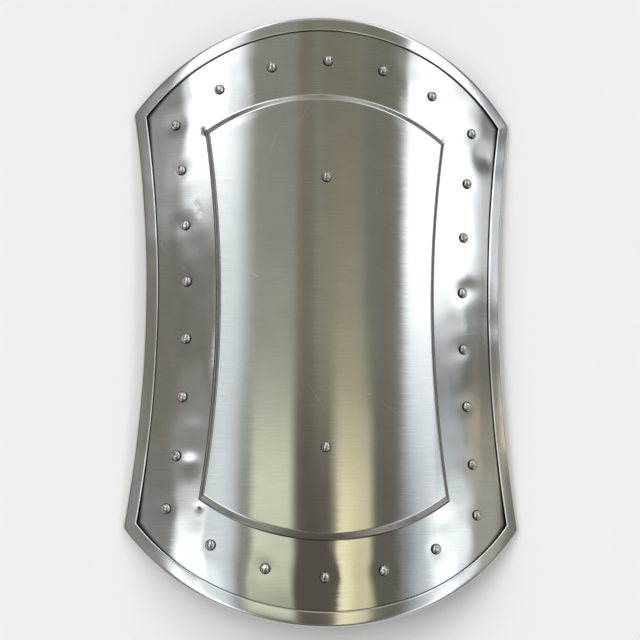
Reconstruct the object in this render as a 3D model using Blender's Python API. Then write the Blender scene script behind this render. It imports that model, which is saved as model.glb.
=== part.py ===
"""A rectangular buckler: a rolled steel plate with a raised panel, a folded rim, rivets and a hand grip.

The plate is laid out as a flat sheet, with u across it and v along it, and then rolled about its long axis.
A point of the sheet also has a height above the plate's front face, so every piece that lies on the plate
is given by u, v and that height. The buckler lies face up on the four corners of its rim.
"""

import math

import bpy
from mathutils import Matrix, Vector

# The plate and its rim, measured flat, before rolling
CORNER_WIDTH = 0.304
CORNER_HEIGHT = 0.312
END_RISE = 0.069
WAIST_DEPTH = 0.014
ROLL_RADIUS = 0.294
SHEET = 0.0015

# The raised panel, at its foot
PANEL_WIDTH = 0.184
PANEL_HEIGHT = 0.2736
PANEL_END_RISE = 0.0288
PANEL_WAIST_DEPTH = 0.0108
PANEL_LIFT = 0.0038
PANEL_SIDE_STEP = 0.0044
PANEL_END_STEP = 0.0056
PANEL_SHIFT = Vector((-0.001, 0.0006))
PANEL_LOW_CORNER = 0.0036

# The step's profile, from its shoulder to its foot, as shares of its width and of the panel's lift
STEP_PROFILE = ((0.25, 0.88), (0.75, 0.12))

# The folded rim
RIM_SHEET = 0.0012
RIM_FRONT_WIDTH = 0.0106
RIM_BACK_WIDTH = 0.0095

# The rivets of the border, in rows along the rim's outer edge
END_ROW_INSET = 0.0343
SIDE_ROW_INSET = 0.0334
END_RIVETS = 7
END_PITCH = 0.0427
TOP_ROW_SHIFT = 0.0006
BOTTOM_ROW_SHIFT = -0.0023
SIDE_RIVETS = 6
SIDE_PITCH = 0.0427
RIGHT_ROW_SHIFT = -0.0024
LEFT_ROW_SHIFT = -0.0018

# Every rivet
HEAD_RADIUS = 0.004
HEAD_HEIGHT = 0.0029
SHANK_RADIUS = 0.002
TAIL_RADIUS = 0.0031
TAIL_HEIGHT = 0.0013
TAIL_NARROWING = 0.7
DOME_ANGLES = (math.radians(58), math.radians(28))

# The hand grip
GRIP_RIVET_SPACING = 0.1988
GRIP_SIDE_SHIFT = -0.0019
FINGER_GAP = 0.030
FOOT_WIDTH = 0.024
FOOT_THICKNESS = 0.003
FOOT_REACH = 0.013
HANDLE_WIDTH = 0.020
HANDLE_THICKNESS = 0.008
BEND_RADIUS = 0.012
RAMP_ANGLE = math.radians(62)
HEEL_LENGTH = 0.010
RAMP_END_SHARE = 0.5
CORNER_SHARE = 0.36

# The rounded tip of a foot, as shares of its reach beyond the rivet and of its width
FOOT_TIP = ((1.0, 0.46), (0.86, 0.76), (0.62, 0.93), (0.3, 1.0))

# Clearances between pieces
GAP = 0.0003
HOLE_CLEARANCE = 0.0003
DRILL_MARGIN = 0.003

# Faces along the outline, round a rivet and round a bend
END_STEPS = 20
SIDE_STEPS = 10
ROUND_STEPS = 10
NOSE_STEPS = 4
BEND_STEPS = 4
CORNER_STEPS = 2
SHARP_ANGLE = math.radians(35)


def rectangle_corners(width, height):
    """The four corners in order, from the lower left one, anticlockwise."""
    return [
        Vector((-width / 2, -height / 2)),
        Vector((width / 2, -height / 2)),
        Vector((width / 2, height / 2)),
        Vector((-width / 2, height / 2)),
    ]


def hourglass(corners, end_rise, waist_depth):
    """An outline of four arcs: its two ends bow out and its two sides bow in."""
    bows = [end_rise, -waist_depth, end_rise, -waist_depth]
    arcs = []
    for index, bow in enumerate(bows):
        start = corners[index]
        end = corners[(index + 1) % 4]
        chord = end - start
        outward = Vector((chord.y, -chord.x)).normalized()
        side = math.copysign(1.0, bow)
        radius = ((chord.length / 2) ** 2 + bow ** 2) / (2 * abs(bow))
        centre = (start + end) / 2 + outward * (bow - side * radius)
        arcs.append((centre, radius, side, outward))
    return corners, arcs


def drawn_in(arc, inset):
    """The arc's circle, moved towards the inside of its outline."""
    centre, radius, side, _ = arc
    return centre, radius - side * inset


def meeting_point(first, second, near):
    """The point where two circles cross, on the side of the point given."""
    centre, radius = first
    other, other_radius = second
    span = other - centre
    along = (radius ** 2 - other_radius ** 2 + span.length_squared) / (2 * span.length)
    across = math.sqrt(radius ** 2 - along ** 2)
    direction = span.normalized()
    foot = centre + direction * along
    sideways = Vector((-direction.y, direction.x)) * across
    return min((foot + sideways, foot - sideways), key=lambda point: (point - near).length)


def loop(outline, end_inset, side_inset):
    """Points round the outline drawn in by two distances, from its lower left corner, anticlockwise."""
    corners, arcs = outline
    insets = [end_inset, side_inset, end_inset, side_inset]
    circles = [drawn_in(arc, inset) for arc, inset in zip(arcs, insets)]
    turns = [meeting_point(circles[i - 1], circles[i], corners[i]) for i in range(4)]
    points = []
    for index, (centre, radius) in enumerate(circles):
        steps = (END_STEPS, SIDE_STEPS)[index % 2]
        start = turns[index] - centre
        end = turns[(index + 1) % 4] - centre
        first_angle = math.atan2(start.y, start.x)
        sweep = math.remainder(math.atan2(end.y, end.x) - first_angle, math.tau)
        for step in range(steps):
            angle = first_angle + sweep * step / steps
            points.append(centre + Vector((math.cos(angle), math.sin(angle))) * radius)
    return points


def rolled(point, height):
    """The place on the rolled plate of a point of the flat sheet, with its front crest at zero height."""
    angle = point.x / ROLL_RADIUS
    reach = ROLL_RADIUS + height
    return Vector((reach * math.sin(angle), point.y, reach * math.cos(angle) - ROLL_RADIUS))


def blended(first, second, share):
    """A loop between two loops with as many points."""
    return [a.lerp(b, share) for a, b in zip(first, second)]


def shield_outline():
    """The rim's outer edge."""
    return hourglass(rectangle_corners(CORNER_WIDTH, CORNER_HEIGHT), END_RISE, WAIST_DEPTH)


def panel_outline():
    """The foot of the raised panel, whose upper right corner was beaten a little low."""
    corners = [corner + PANEL_SHIFT for corner in rectangle_corners(PANEL_WIDTH, PANEL_HEIGHT)]
    corners[2].y -= PANEL_LOW_CORNER
    return hourglass(corners, PANEL_END_RISE, PANEL_WAIST_DEPTH)


def grid_inside(ring):
    """Rows of points that fill a loop, bent evenly between its four sides."""
    right_start = END_STEPS
    top_start = END_STEPS + SIDE_STEPS
    left_start = top_start + END_STEPS
    closed = ring + ring[:1]
    bottom = closed[: right_start + 1]
    right = closed[right_start : top_start + 1]
    top = closed[top_start : left_start + 1][::-1]
    left = closed[left_start:][::-1]
    rows = []
    for j in range(SIDE_STEPS + 1):
        t = j / SIDE_STEPS
        row = []
        for i in range(END_STEPS + 1):
            s = i / END_STEPS
            between_ends = bottom[i].lerp(top[i], t)
            between_sides = left[j].lerp(right[j], s)
            between_corners = bottom[0].lerp(bottom[-1], s).lerp(top[0].lerp(top[-1], s), t)
            row.append(between_ends + between_sides - between_corners)
        rows.append(row)
    return rows


def edge_numbers():
    """The numbers of the grid's outer points, in the order of the loop round them."""
    across = END_STEPS + 1
    last_row = SIDE_STEPS * across
    bottom = list(range(END_STEPS))
    right = [j * across + END_STEPS for j in range(SIDE_STEPS)]
    top = [last_row + END_STEPS - i for i in range(END_STEPS)]
    left = [(SIDE_STEPS - j) * across for j in range(SIDE_STEPS)]
    return bottom + right + top + left


def band(first, second):
    """Faces between two loops of point numbers, the second one outside the first."""
    count = len(first)
    return [
        (first[k], second[k], second[(k + 1) % count], first[(k + 1) % count]) for k in range(count)
    ]


def plate_loops():
    """The loops outside the panel's grid, from its shoulder to the plate's edge, each with its height."""
    panel = panel_outline()
    shield = shield_outline()
    shoulder = loop(panel, PANEL_END_STEP, PANEL_SIDE_STEP)
    foot = loop(panel, 0, 0)
    rim_line = loop(shield, RIM_FRONT_WIDTH, RIM_FRONT_WIDTH)
    tuck = RIM_SHEET + GAP
    step = [(blended(shoulder, foot, share), PANEL_LIFT * lift) for share, lift in STEP_PROFILE]
    return step + [
        (foot, 0.0),
        (blended(foot, rim_line, 0.5), 0.0),
        (rim_line, 0.0),
        (loop(shield, tuck, tuck), 0.0),
    ]


def plate_mesh():
    """The plate: the panel's grid, the step round it and the flat border, with the sheet's thickness."""
    shoulder = loop(panel_outline(), PANEL_END_STEP, PANEL_SIDE_STEP)
    rows = grid_inside(shoulder)
    points = [(point, PANEL_LIFT) for row in rows for point in row]
    across = END_STEPS + 1
    faces = []
    for j in range(SIDE_STEPS):
        for i in range(END_STEPS):
            corner = j * across + i
            faces.append((corner, corner + 1, corner + across + 1, corner + across))
    edge = edge_numbers()
    for ring, height in plate_loops():
        outer = list(range(len(points), len(points) + len(ring)))
        points += [(point, height) for point in ring]
        faces += band(edge, outer)
        edge = outer
    count = len(points)
    front = [rolled(point, height) for point, height in points]
    back = [rolled(point, height - SHEET) for point, height in points]
    behind = [tuple(number + count for number in reversed(face)) for face in faces]
    wall = band(edge, [number + count for number in edge])
    return mesh_from("shield_plate", front + back, faces + behind + wall)


def rim_section():
    """The folded strip's section, as inset from the outer edge and height above the plate's front."""
    front = GAP + RIM_SHEET
    back = -SHEET - GAP - RIM_SHEET
    middle = (front + back) / 2
    nose = (front - back) / 2
    section = [(RIM_FRONT_WIDTH, front)]
    for step in range(NOSE_STEPS + 1):
        angle = math.pi * (0.5 - step / NOSE_STEPS)
        section.append((nose - nose * math.cos(angle), middle + nose * math.sin(angle)))
    section += [
        (RIM_BACK_WIDTH, back),
        (RIM_BACK_WIDTH, back + RIM_SHEET),
        (RIM_SHEET, back + RIM_SHEET),
        (RIM_SHEET, GAP),
        (RIM_FRONT_WIDTH, GAP),
    ]
    return section


def rim_mesh():
    """The rim: its section carried round the outline, with a mitre at each corner."""
    outline = shield_outline()
    points = []
    rings = []
    for inset, height in rim_section():
        ring = loop(outline, inset, inset)
        rings.append(list(range(len(points), len(points) + len(ring))))
        points += [rolled(point, height) for point in ring]
    faces = []
    for index, ring in enumerate(rings):
        faces += band(ring, rings[(index + 1) % len(rings)])
    return mesh_from("rim_binding", points, faces)


def mesh_from(name, points, faces):
    """A smooth-shaded mesh whose sharp edges stay sharp."""
    mesh = bpy.data.meshes.new(name)
    mesh.from_pydata(points, [], faces)
    mesh.validate()
    mesh.shade_smooth()
    mesh.set_sharp_from_angle(angle=SHARP_ANGLE)
    return mesh


def turned_shape(profile):
    """Points and faces of a body turned about Z from (radius, height) pairs, from its top to its bottom."""
    points = []
    rings = []
    for radius, height in profile:
        steps = ROUND_STEPS if radius else 1
        rings.append([len(points) + step % steps for step in range(ROUND_STEPS + 1)])
        for step in range(steps):
            angle = math.tau * step / steps
            points.append((radius * math.cos(angle), radius * math.sin(angle), height))
    faces = []
    for upper, lower in zip(rings, rings[1:]):
        for step in range(ROUND_STEPS):
            face = (upper[step], lower[step], lower[step + 1], upper[step + 1])
            faces.append(tuple(dict.fromkeys(face)))
    return points, faces


def rivet_mesh(name, grasp):
    """A rivet whose domed head lies on the front and whose tail is headed over behind what it holds."""
    profile = [(0, GAP + HEAD_HEIGHT)]
    for angle in DOME_ANGLES:
        profile.append((HEAD_RADIUS * math.cos(angle), GAP + HEAD_HEIGHT * math.sin(angle)))
    tail_top = -grasp - GAP
    profile += [
        (HEAD_RADIUS, GAP),
        (SHANK_RADIUS, GAP),
        (SHANK_RADIUS, tail_top),
        (TAIL_RADIUS, tail_top),
        (TAIL_RADIUS * TAIL_NARROWING, tail_top - TAIL_HEIGHT),
        (0, tail_top - TAIL_HEIGHT),
    ]
    return mesh_from(name, *turned_shape(profile))


def row_along(arc, inset, count, pitch, shift):
    """Places along an arc of the border, evenly apart about a point near its middle, anticlockwise."""
    centre, radius = drawn_in(arc, inset)
    _, _, side, outward = arc
    middle = math.atan2(side * outward.y, side * outward.x)
    places = []
    for index in range(count):
        distance = (index - (count - 1) / 2) * pitch + shift
        angle = middle + side * distance / radius
        places.append(centre + Vector((math.cos(angle), math.sin(angle))) * radius)
    return places


def border_places():
    """Places of the border's rivets on the flat sheet."""
    _, (bottom, right, top, left) = shield_outline()
    return (
        row_along(bottom, END_ROW_INSET, END_RIVETS, END_PITCH, BOTTOM_ROW_SHIFT)
        + row_along(right, SIDE_ROW_INSET, SIDE_RIVETS, SIDE_PITCH, RIGHT_ROW_SHIFT)
        + row_along(top, END_ROW_INSET, END_RIVETS, END_PITCH, TOP_ROW_SHIFT)
        + row_along(left, SIDE_ROW_INSET, SIDE_RIVETS, SIDE_PITCH, LEFT_ROW_SHIFT)
    )


def grip_places():
    """Places of the grip's two rivets on the flat sheet, the upper one first."""
    return [
        Vector((GRIP_SIDE_SHIFT, GRIP_RIVET_SPACING / 2)),
        Vector((GRIP_SIDE_SHIFT, -GRIP_RIVET_SPACING / 2)),
    ]


def foot_top():
    """The height of the flat top of a grip's foot, whose long edges meet the hollow back of the panel."""
    back = PANEL_LIFT - SHEET
    back_radius = ROLL_RADIUS + back
    sag = back_radius - math.sqrt(back_radius ** 2 - (FOOT_WIDTH / 2) ** 2)
    return back - sag - GAP


def grip_stations():
    """Stations of the grip's middle line from its upper tip to its centre.

    Each is a place along the buckler, a height, a slope and the share of the handle's section that it has.
    """
    rivet = GRIP_RIVET_SPACING / 2
    start = foot_top() - FOOT_THICKNESS / 2
    end = PANEL_LIFT - SHEET - FINGER_GAP - HANDLE_THICKNESS / 2
    ramp = (start - end - 2 * BEND_RADIUS * (1 - math.cos(RAMP_ANGLE))) / math.sin(RAMP_ANGLE)
    heel = rivet - HEEL_LENGTH
    stations = [(rivet + FOOT_REACH * reach, start, 0.0, 0.0) for reach, _ in FOOT_TIP]
    for step in range(BEND_STEPS + 1):
        slope = RAMP_ANGLE * step / BEND_STEPS
        along = heel - BEND_RADIUS * math.sin(slope)
        height = start - BEND_RADIUS * (1 - math.cos(slope))
        stations.append((along, height, slope, 0.0))
    ramp_along = along - ramp * math.cos(RAMP_ANGLE)
    ramp_height = height - ramp * math.sin(RAMP_ANGLE)
    for step in range(BEND_STEPS + 1):
        share = step / BEND_STEPS
        slope = RAMP_ANGLE * (1 - share)
        along = ramp_along - BEND_RADIUS * (math.sin(RAMP_ANGLE) - math.sin(slope))
        height = ramp_height - BEND_RADIUS * (math.cos(slope) - math.cos(RAMP_ANGLE))
        stations.append((along, height, slope, RAMP_END_SHARE + (1 - RAMP_END_SHARE) * share))
    return stations


def rounded_section(width, thickness):
    """A bar's section with rounded corners, as (across, up) pairs, clockwise."""
    corner = thickness * CORNER_SHARE
    section = []
    for quarter in range(4):
        sign_across, sign_up = ((1, 1), (1, -1), (-1, -1), (-1, 1))[quarter]
        for step in range(CORNER_STEPS + 1):
            angle = math.pi / 2 * (1 - quarter - step / CORNER_STEPS)
            across = sign_across * (width / 2 - corner) + corner * math.cos(angle)
            up = sign_up * (thickness / 2 - corner) + corner * math.sin(angle)
            section.append((across, up))
    return section


def grip_mesh():
    """The grip: a bar carried along its line, flat in its feet and rounded and thicker in its handle."""
    upper = grip_stations()
    tips = [narrowing for _, narrowing in FOOT_TIP]
    narrowings = tips + [1.0] * (len(upper) - len(tips))
    lower = [(-along, height, -slope, share) for along, height, slope, share in reversed(upper)]
    points = []
    rings = []
    for station, narrowing in zip(upper + lower, narrowings + narrowings[::-1]):
        along, height, slope, share = station
        width = (FOOT_WIDTH + (HANDLE_WIDTH - FOOT_WIDTH) * share) * narrowing
        thickness = FOOT_THICKNESS + (HANDLE_THICKNESS - FOOT_THICKNESS) * share
        section = rounded_section(width, thickness)
        rings.append(list(range(len(points), len(points) + len(section))))
        for across, up in section:
            points.append((across, along - up * math.sin(slope), height + up * math.cos(slope)))
    faces = [tuple(rings[0]), tuple(rings[-1][::-1])]
    for first, second in zip(rings, rings[1:]):
        faces += band(first, second)
    return mesh_from("hand_grip", points, faces)


def seat(place, height):
    """The frame of a piece that stands on the rolled plate at a place of the flat sheet."""
    turn = Matrix.Rotation(place.x / ROLL_RADIUS, 4, "Y")
    return Matrix.Translation(rolled(place, height)) @ turn


def drill_mesh():
    """Drills through the plate and the grip's feet, one for each rivet."""
    radius = SHANK_RADIUS + HOLE_CLEARANCE
    top = PANEL_LIFT + DRILL_MARGIN
    bottom = foot_top() - FOOT_THICKNESS - DRILL_MARGIN
    shape, faces = turned_shape([(0, top), (radius, top), (radius, bottom), (0, bottom)])
    points = []
    drilled = []
    for place in border_places() + grip_places():
        first = len(points)
        points += [seat(place, 0) @ Vector(point) for point in shape]
        drilled += [tuple(first + number for number in face) for face in faces]
    return mesh_from("rivet_drills", points, drilled)


def steel(name, colour, roughness):
    """Bare steel of one colour and polish."""
    material = bpy.data.materials.new(name)
    material.use_nodes = True
    shader = material.node_tree.nodes["Principled BSDF"]
    shader.inputs["Base Color"].default_value = (*colour, 1.0)
    shader.inputs["Metallic"].default_value = 1.0
    shader.inputs["Roughness"].default_value = roughness
    material.diffuse_color = (*colour, 1.0)
    return material


def add_piece(name, mesh, material, parent, frame=None):
    """An object that belongs to the buckler, in its place."""
    piece = bpy.data.objects.new(name, mesh)
    if material and not mesh.materials:
        mesh.materials.append(material)
    bpy.context.scene.collection.objects.link(piece)
    piece.parent = parent
    if frame:
        piece.matrix_local = frame
    return piece


def drill(piece, drills):
    """Cuts the rivets' holes through a piece."""
    cut = piece.modifiers.new("rivet_holes", "BOOLEAN")
    cut.operation = "DIFFERENCE"
    cut.solver = "EXACT"
    cut.object = drills


def clear_scene():
    """Removes whatever the scene holds."""
    for item in list(bpy.data.objects):
        bpy.data.objects.remove(item)


def build_plate(buckler, drills):
    """The plate, drilled for every rivet."""
    satin = steel("satin_steel", (0.62, 0.61, 0.57), 0.28)
    plate = add_piece("shield_plate", plate_mesh(), satin, buckler)
    drill(plate, drills)


def build_rim(buckler):
    """The folded rim, on whose four corners the buckler lies."""
    bright = steel("polished_steel", (0.68, 0.67, 0.64), 0.22)
    add_piece("rim_binding", rim_mesh(), bright, buckler)


def build_rivets(buckler):
    """The border's rivets and the two that hold the grip."""
    steel_heads = steel("rivet_steel", (0.60, 0.59, 0.56), 0.25)
    border = rivet_mesh("border_rivet", SHEET)
    for index, place in enumerate(border_places()):
        add_piece(f"border_rivet_{index + 1:02d}", border, steel_heads, buckler, seat(place, 0))
    grasp = PANEL_LIFT - foot_top() + FOOT_THICKNESS
    long_rivet = rivet_mesh("grip_rivet", grasp)
    for end, place in zip(("top", "bottom"), grip_places()):
        add_piece(f"grip_rivet_{end}", long_rivet, steel_heads, buckler, seat(place, PANEL_LIFT))


def build_grip(buckler, drills):
    """The hand grip behind the panel."""
    forged = steel("forged_steel", (0.34, 0.33, 0.31), 0.42)
    middle = Vector((GRIP_SIDE_SHIFT, 0))
    grip = add_piece("hand_grip", grip_mesh(), forged, buckler, seat(middle, 0))
    drill(grip, drills)


def set_down(buckler):
    """Stands the buckler on its lowest points, at zero height."""
    pieces = [piece for piece in buckler.children if not piece.hide_render]
    heights = [(piece.matrix_local @ point.co).z for piece in pieces for point in piece.data.vertices]
    buckler.location.z = -min(heights)


clear_scene()
buckler = bpy.data.objects.new("buckler", None)
bpy.context.scene.collection.objects.link(buckler)
drills = add_piece("rivet_drills", drill_mesh(), None, buckler)
drills.hide_render = True
drills.display_type = "WIRE"
build_plate(buckler, drills)
build_rim(buckler)
build_rivets(buckler)
build_grip(buckler, drills)
set_down(buckler)
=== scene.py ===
import math
import random

import bpy
import numpy as np
from mathutils import Matrix, Vector


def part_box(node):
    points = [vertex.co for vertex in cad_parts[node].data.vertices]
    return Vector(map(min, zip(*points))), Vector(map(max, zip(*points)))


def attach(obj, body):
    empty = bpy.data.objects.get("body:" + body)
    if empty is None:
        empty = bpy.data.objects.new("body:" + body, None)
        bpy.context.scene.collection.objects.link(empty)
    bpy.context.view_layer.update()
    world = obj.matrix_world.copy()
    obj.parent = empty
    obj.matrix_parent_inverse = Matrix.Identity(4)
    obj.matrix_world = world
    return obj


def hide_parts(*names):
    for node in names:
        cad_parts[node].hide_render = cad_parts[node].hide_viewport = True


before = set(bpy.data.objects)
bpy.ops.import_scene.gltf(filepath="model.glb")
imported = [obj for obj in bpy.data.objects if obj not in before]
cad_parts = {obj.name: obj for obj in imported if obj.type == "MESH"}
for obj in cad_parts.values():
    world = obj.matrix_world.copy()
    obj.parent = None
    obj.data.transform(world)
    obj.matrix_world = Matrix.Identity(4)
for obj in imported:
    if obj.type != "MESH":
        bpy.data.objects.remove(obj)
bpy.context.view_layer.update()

# The plate is one piece of mild steel sheet, cut to an hourglass with bowed ends. Its panel is pressed
# up, the sheet is rolled about its long axis, and it is ground across with a belt. The border was
# dressed by hand after riveting, so it is a little wavy and dished round its rivets.

MM = 0.001
ROLL_RADIUS = 294 * MM
SHEET = 1.5 * MM
CORNER_WIDTH = 304 * MM
CORNER_HEIGHT = 312 * MM
END_RISE = 69 * MM
WAIST_DEPTH = 14 * MM

PANEL_WIDTH = 184 * MM
PANEL_HEIGHT = 273.6 * MM
PANEL_END_RISE = 28.8 * MM
PANEL_WAIST_DEPTH = 10.8 * MM
PANEL_LIFT = 3.8 * MM
PANEL_SIDE_STEP = 4.4 * MM
PANEL_END_STEP = 5.6 * MM
PANEL_SHIFT = Vector((-1, 0.6)) * MM
PANEL_LOW_CORNER = 3.6 * MM

RIM_SHEET = 1.2 * MM
RIM_FRONT_WIDTH = 10.6 * MM
RIM_BACK_WIDTH = 9.5 * MM
GAP = 0.3 * MM

# The rim's front lies at its sheet and a gap above the plate, so its top tells where the crest is
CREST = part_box("rim_binding")[1].z - RIM_SHEET - GAP

# Points along each side of an outline, set closer beside its corners
POINT_SPACING = 2.6 * MM
CORNER_STOPS = [0.0, 0.3 * MM, 0.8 * MM, 1.4 * MM, 2.2 * MM]

# Loops of the mesh across the step, beside its foot, across the border and beside the rim
STEP_LOOPS = 14
BEND_SHARE = 0.24
FOOT_LOOPS = [0.6 * MM, 1.2 * MM, 2 * MM, 3 * MM, 4.5 * MM]
BORDER_LOOPS = 20
SEAM_LOOPS = [6 * MM, 4.5 * MM, 3.2 * MM, 2.3 * MM, 1.6 * MM, 1.1 * MM, 0.7 * MM, 0.3 * MM, 0.0]


def arc_between(start, end, bow):
    """The circle of an arc that bows outwards from its chord, or inwards where the bow is negative."""
    chord = end - start
    outward = Vector((chord.y, -chord.x)).normalized()
    side = math.copysign(1.0, bow)
    radius = ((chord.length / 2) ** 2 + bow ** 2) / (2 * abs(bow))
    centre = (start + end) / 2 + outward * (bow - side * radius)
    return centre, radius, side


def hourglass(width, height, end_rise, waist_depth, shift=Vector((0, 0)), low_corner=0.0):
    """An outline of four arcs, from its lower left corner anticlockwise: its corners and its arcs."""
    signs = ((-1, -1), (1, -1), (1, 1), (-1, 1))
    corners = [Vector((x * width / 2, y * height / 2)) + shift for x, y in signs]
    corners[2].y -= low_corner
    bows = [end_rise, -waist_depth, end_rise, -waist_depth]
    arcs = [arc_between(corners[i], corners[(i + 1) % 4], bows[i]) for i in range(4)]
    return corners, arcs


def crossing(first, second, near):
    """The point where two circles cross, on the side of the point given."""
    centre, radius = first
    other, other_radius = second
    span = other - centre
    along = (radius ** 2 - other_radius ** 2 + span.length_squared) / (2 * span.length)
    across = math.sqrt(radius ** 2 - along ** 2)
    direction = span.normalized()
    foot = centre + direction * along
    sideways = Vector((-direction.y, direction.x)) * across
    return min((foot + sideways, foot - sideways), key=lambda point: (point - near).length)


def drawn_in(outline, end_inset, side_inset):
    """An outline's circles moved towards its inside, and the corners where they meet."""
    corners, arcs = outline
    insets = [end_inset, side_inset, end_inset, side_inset]
    circles = [(centre, radius - side * inset) for (centre, radius, side), inset in zip(arcs, insets)]
    turns = [crossing(circles[i - 1], circles[i], corners[i]) for i in range(4)]
    return circles, turns


def stops(length):
    """Shares of a side's length at which it has points, without its far end."""
    inner = length - 2 * CORNER_STOPS[-1]
    steps = round(inner / POINT_SPACING)
    even = [CORNER_STOPS[-1] + inner * step / steps for step in range(steps)]
    places = CORNER_STOPS[:-1] + even + [length - stop for stop in CORNER_STOPS[:0:-1]]
    return [place / length for place in places]


END_STOPS = stops(CORNER_WIDTH * (1 + 2.67 * (END_RISE / CORNER_WIDTH) ** 2))
SIDE_STOPS = stops(CORNER_HEIGHT)


def loop(outline, end_inset, side_inset):
    """Points round an outline drawn in by two distances, from its lower left corner, anticlockwise."""
    circles, turns = drawn_in(outline, end_inset, side_inset)
    points = []
    for index, (centre, radius) in enumerate(circles):
        start = turns[index] - centre
        end = turns[(index + 1) % 4] - centre
        first_angle = math.atan2(start.y, start.x)
        sweep = math.remainder(math.atan2(end.y, end.x) - first_angle, math.tau)
        for share in (END_STOPS, SIDE_STOPS)[index % 2]:
            angle = first_angle + sweep * share
            points.append(centre + Vector((math.cos(angle), math.sin(angle))) * radius)
    return points


def blended(first, second, share):
    """A loop between two loops with as many points."""
    return [a.lerp(b, share) for a, b in zip(first, second)]


def rolled(point, height):
    """The place on the rolled plate of a point of the flat sheet, at a height above its front."""
    angle = point[0] / ROLL_RADIUS
    reach = ROLL_RADIUS + height
    return Vector((reach * math.sin(angle), point[1], CREST - ROLL_RADIUS + reach * math.cos(angle)))


def axis_foot(node):
    """The point of the flat sheet that a turned piece stands on, since its points average out on its axis."""
    points = [vertex.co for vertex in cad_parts[node].data.vertices]
    middle = sum(points, Vector()) / len(points)
    return Vector((ROLL_RADIUS * math.atan2(middle.x, middle.z - CREST + ROLL_RADIUS), middle.y))


SHIELD = hourglass(CORNER_WIDTH, CORNER_HEIGHT, END_RISE, WAIST_DEPTH)
PANEL = hourglass(
    PANEL_WIDTH, PANEL_HEIGHT, PANEL_END_RISE, PANEL_WAIST_DEPTH, PANEL_SHIFT, PANEL_LOW_CORNER
)
BORDER_RIVETS = sorted(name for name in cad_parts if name.startswith("border_rivet"))
GRIP_RIVETS = ["grip_rivet_top", "grip_rivet_bottom"]
RIVET_FEET = {name: axis_foot(name) for name in BORDER_RIVETS + GRIP_RIVETS}


def step_height(share):
    """The step's height from its shoulder at 0 to its foot at 1: a straight wall between two bends."""
    slope = 1 / (1 - BEND_SHARE)
    if share < BEND_SHARE:
        return 1 - slope * share ** 2 / (2 * BEND_SHARE)
    if share > 1 - BEND_SHARE:
        return slope * (1 - share) ** 2 / (2 * BEND_SHARE)
    return 1 - slope * (share - BEND_SHARE / 2)


def grid_inside(ring):
    """Rows of points that fill a loop, bent evenly between its four sides, and their numbers round it."""
    ends = len(END_STOPS)
    sides = len(SIDE_STOPS)
    closed = ring + ring[:1]
    bottom = closed[: ends + 1]
    right = closed[ends : ends + sides + 1]
    top = closed[ends + sides : 2 * ends + sides + 1][::-1]
    left = closed[2 * ends + sides :][::-1]
    points = []
    for j, t in enumerate(SIDE_STOPS + [1.0]):
        for i, s in enumerate(END_STOPS + [1.0]):
            between_ends = bottom[i].lerp(top[i], t)
            between_sides = left[j].lerp(right[j], s)
            between_corners = bottom[0].lerp(bottom[-1], s).lerp(top[0].lerp(top[-1], s), t)
            points.append(between_ends + between_sides - between_corners)
    wide = ends + 1
    edge = list(range(ends))
    edge += [j * wide + ends for j in range(sides)]
    edge += [sides * wide + ends - i for i in range(ends)]
    edge += [(sides - j) * wide for j in range(sides)]
    faces = []
    for j in range(sides):
        for i in range(ends):
            corner = j * wide + i
            faces.append((corner, corner + 1, corner + wide + 1, corner + wide))
    return points, faces, edge


def band(first, second):
    """Faces between two loops of point numbers, the second one outside the first."""
    count = len(first)
    return [
        (first[k], second[k], second[(k + 1) % count], first[(k + 1) % count]) for k in range(count)
    ]


# Soft waves that hand dressing left in the border: their length and how far they rise
WAVE_LENGTHS = [22 * MM, 31 * MM, 45 * MM, 70 * MM, 110 * MM]
WAVE_SLOPE = 0.0018
WAVES_FADE_IN = 12 * MM
PANEL_WAVE_SHARE = 0.12

# The dish that setting a rivet pressed into the border round it
DISH_RADIUS = 7 * MM
DISH_DEPTHS = (0.05 * MM, 0.14 * MM)

# Dents and pressed marks of the front: u and v, half sizes across and along, and depth, in millimetres
DENTS = [
    (-94.4, 136.5, 1.8, 3.8, 0.25),
    (90.0, 134.5, 1.6, 1.6, 0.35),
    (-92.3, -142.0, 2.8, 2.8, 0.1),
    (127.0, 127.5, 8.0, 10.0, 0.42),
    (-100.5, -110.5, 6.0, 6.0, 0.3),
    (-99.0, -86.0, 12.0, 9.0, 0.15),
    (-99.2, 81.8, 1.3, 1.3, 0.05),
    (-97.0, 81.6, 1.2, 1.2, 0.05),
    (-98.0, 78.4, 1.6, 1.4, 0.06),
    (-96.6, 74.6, 1.5, 2.0, 0.06),
    (110.0, 23.5, 9.0, 6.0, 0.13),
]

# Grime, polish and painted shade in the seam beside the rim, widest in the four corners, and painted shade at
# the step's foot, where it is given for the bottom, right, top and left side. Between its edges the step is
# dull.
SEAM_GRIME_AND_SHADE = 0.75 * MM
CORNER_GRIME_AND_SHADE = 4.4 * MM
CORNER_SHADE_REACH = 20 * MM
SEAM_DARKNESS = 1.25
FOOT_SHADE = (1.0, 0.8, 0.1, 0.8)
FOOT_SHADE_SHARE = 0.2
BACK_GRIME_AND_SHADE_SHARE = 0.5
DULL_EDGE_SHARE = 0.25

# How far the press let the panel sink just below its upper shoulder, and how far in that reaches
SHOULDER_DROP = 0.15 * MM
SHOULDER_REACH = 4 * MM


def border_waves(flat):
    """Heights of the soft waves at points of the flat sheet."""
    chance = random.Random(3)
    heights = np.zeros(len(flat))
    for length in WAVE_LENGTHS:
        for _ in range(3):
            direction = chance.uniform(0, math.pi)
            phase = chance.uniform(0, math.tau)
            turn = math.tau / (length * chance.uniform(0.85, 1.2))
            swing = flat[:, 0] * math.cos(direction) + flat[:, 1] * math.sin(direction)
            heights += WAVE_SLOPE / turn * np.sin(turn * swing + phase)
    return heights


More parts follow.
